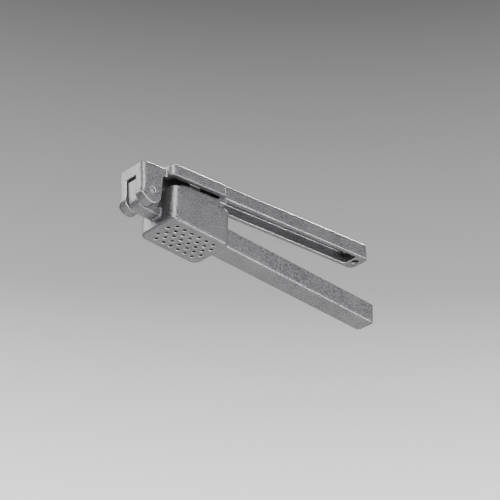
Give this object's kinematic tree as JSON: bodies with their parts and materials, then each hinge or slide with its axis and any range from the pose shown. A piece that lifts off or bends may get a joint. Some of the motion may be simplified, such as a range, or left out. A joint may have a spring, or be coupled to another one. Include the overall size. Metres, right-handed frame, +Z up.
{
  "type": "garlic press",
  "caption": "Two-handled cast press: a lever with a plunger hinges over a small hopper with a perforated base to force soft food through.",
  "frame": {"origin": "centre of the hopper's flat underside", "axes": "X from the hinge towards the handle ends, Y across the press, Z up from the hopper's underside"},
  "size_m": [0.1716, 0.0284, 0.0516],
  "materials": {
    "casting_lower": "satin metallic grey coating on die-cast aluminium",
    "casting_upper": "satin metallic grey coating on die-cast aluminium",
    "pin_steel": "turned steel pin with a bright end",
    "plunger_pin_steel": "turned steel pin",
    "plunger_casting": "satin metallic grey coating on die-cast aluminium"
  },
  "bodies": {
    "lower": {"hopper_handle": "casting_lower"},
    "lever": {"press_lever": "casting_upper", "hinge_pin": "pin_steel", "plunger_pin": "plunger_pin_steel"},
    "plunger": {"plunger": "plunger_casting"}
  },
  "joints": [
    {"name": "lever_hinge", "type": "hinge", "parent": "lower", "child": "lever", "pos_m": [-0.0303, 0, 0.0124], "axis": [0, -1, 0], "range_deg": [0, 60]},
    {"name": "plunger_rock", "type": "hinge", "parent": "lever", "child": "plunger", "pos_m": [-0.00055, 0, 0.02628], "axis": [0, -1, 0], "range_deg": [-2, 2]}
  ]
}
